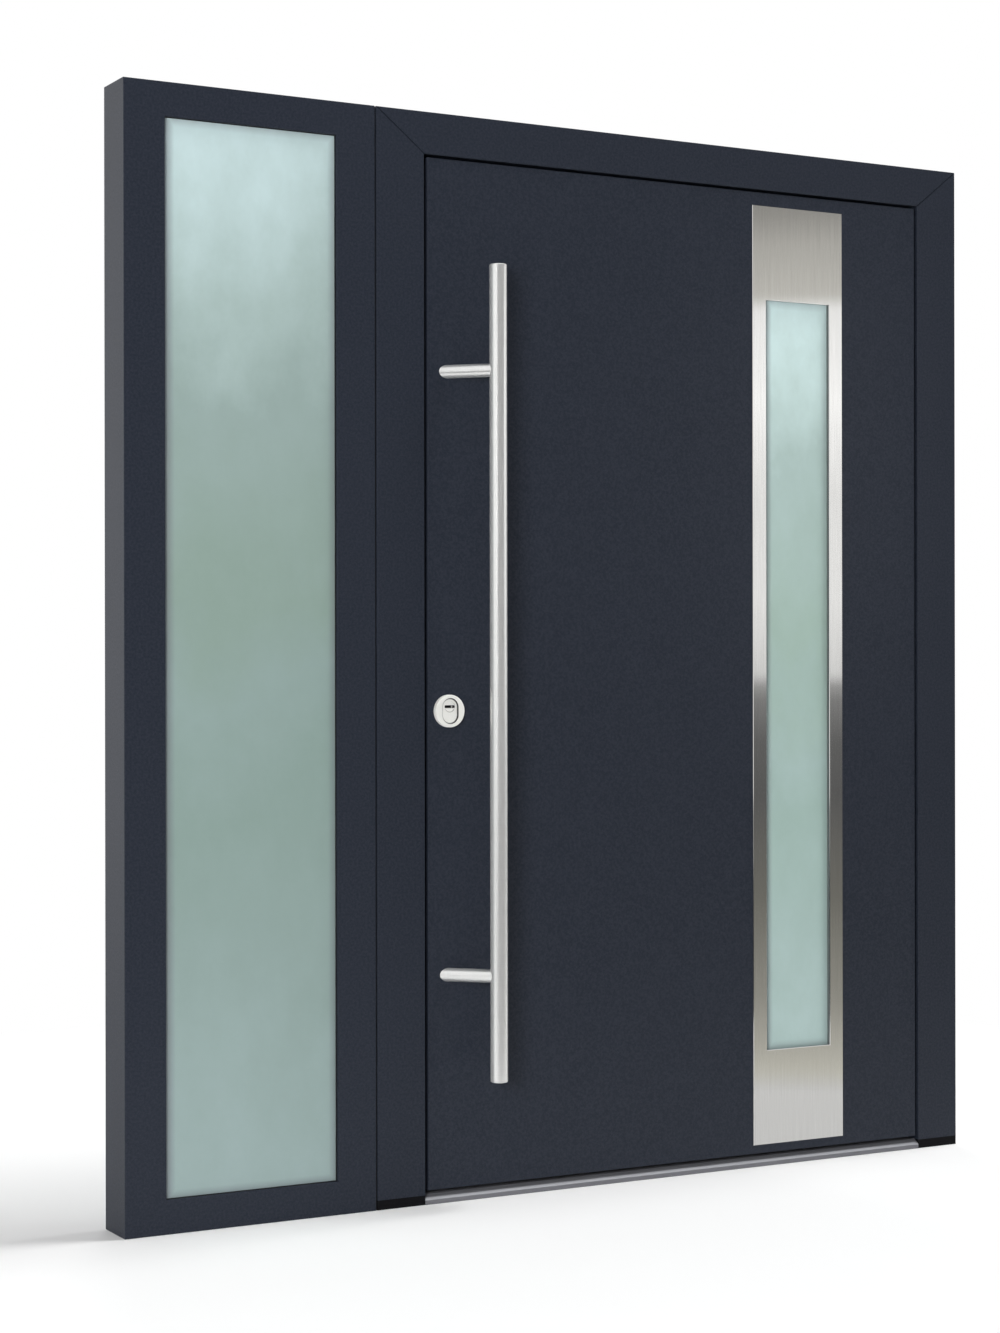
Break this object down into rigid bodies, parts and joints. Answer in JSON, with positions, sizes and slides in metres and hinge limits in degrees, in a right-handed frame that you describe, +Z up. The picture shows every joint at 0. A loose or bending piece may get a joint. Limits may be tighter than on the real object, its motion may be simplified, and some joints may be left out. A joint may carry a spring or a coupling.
{
  "type": "entrance door set with sidelight",
  "caption": "Anthracite aluminium entrance door with a long steel pull bar and a steel-framed frosted glass strip, hung in a rebated frame beside a frosted sidelight.",
  "frame": {"origin": "underside of the threshold, at the middle of the set's width and the frame's depth", "axes": "+Z up, +X to the right seen from outside, -Y towards the outside"},
  "size_m": [1.9, 0.2505, 2.1],
  "materials": {
    "anthracite_paint": "fine matt powder coat",
    "frosted_glass": "frosted",
    "clear_glass": "clear",
    "spacer_aluminium": "dull",
    "black_rubber": "matt",
    "black_plastic": "matt",
    "sill_aluminium": "anodised, ribbed",
    "insulating_foam": "foam",
    "brushed_stainless": "brushed"
  },
  "bodies": {
    "frame": {"sidelight_left_stile": "anthracite_paint", "sidelight_right_stile": "anthracite_paint", "sidelight_top_rail": "anthracite_paint", "sidelight_bottom_rail": "anthracite_paint", "sidelight_outer_pane": "frosted_glass", "sidelight_inner_pane": "clear_glass", "sidelight_glass_spacer": "spacer_aluminium", "sidelight_gaskets": "black_rubber", "sidelight_glazing_beads": "anthracite_paint", "coupling_seal": "black_rubber", "latch_jamb": "anthracite_paint", "hinge_jamb": "anthracite_paint", "frame_head": "anthracite_paint", "threshold": "sill_aluminium", "latch_side_foot": "black_plastic", "hinge_side_foot": "black_plastic", "frame_seal": "black_rubber", "strike_plates": "brushed_stainless", "frame_hinge_halves": "anthracite_paint", "hinge_pins": "brushed_stainless"},
    "leaf": {"leaf_lock_stile": "anthracite_paint", "leaf_hinge_stile": "anthracite_paint", "leaf_top_rail": "anthracite_paint", "leaf_bottom_rail": "anthracite_paint", "leaf_outer_sheet": "anthracite_paint", "leaf_inner_sheet": "anthracite_paint", "leaf_core": "insulating_foam", "inlay_plate": "brushed_stainless", "leaf_glazing_gasket": "black_rubber", "leaf_outer_pane": "frosted_glass", "leaf_glass_spacer": "spacer_aluminium", "leaf_inner_pane": "clear_glass", "leaf_glazing_liner": "anthracite_paint", "inner_glazing_trim": "anthracite_paint", "leaf_bottom_seal": "black_rubber", "pull_bar": "brushed_stainless", "pull_bar_standoffs": "brushed_stainless", "outside_rosette": "brushed_stainless", "cylinder_guard": "brushed_stainless", "lock_cylinder": "brushed_stainless", "inside_lever": "brushed_stainless", "inside_rosettes": "brushed_stainless", "lock_faceplate": "brushed_stainless", "leaf_hinge_halves": "anthracite_paint"},
    "key": {"key_plug": "brushed_stainless"}
  },
  "joints": [
    {"name": "leaf_swing", "type": "hinge", "parent": "frame", "child": "leaf", "pos_m": [0.86925, 0.0615, 0], "axis": [0, 0, -1], "range_deg": [0, 100]},
    {"name": "key_turn", "type": "hinge", "parent": "leaf", "child": "key", "pos_m": [-0.288, -0.047, 0.9565], "axis": [0, -1, 0], "continuous": true}
  ]
}
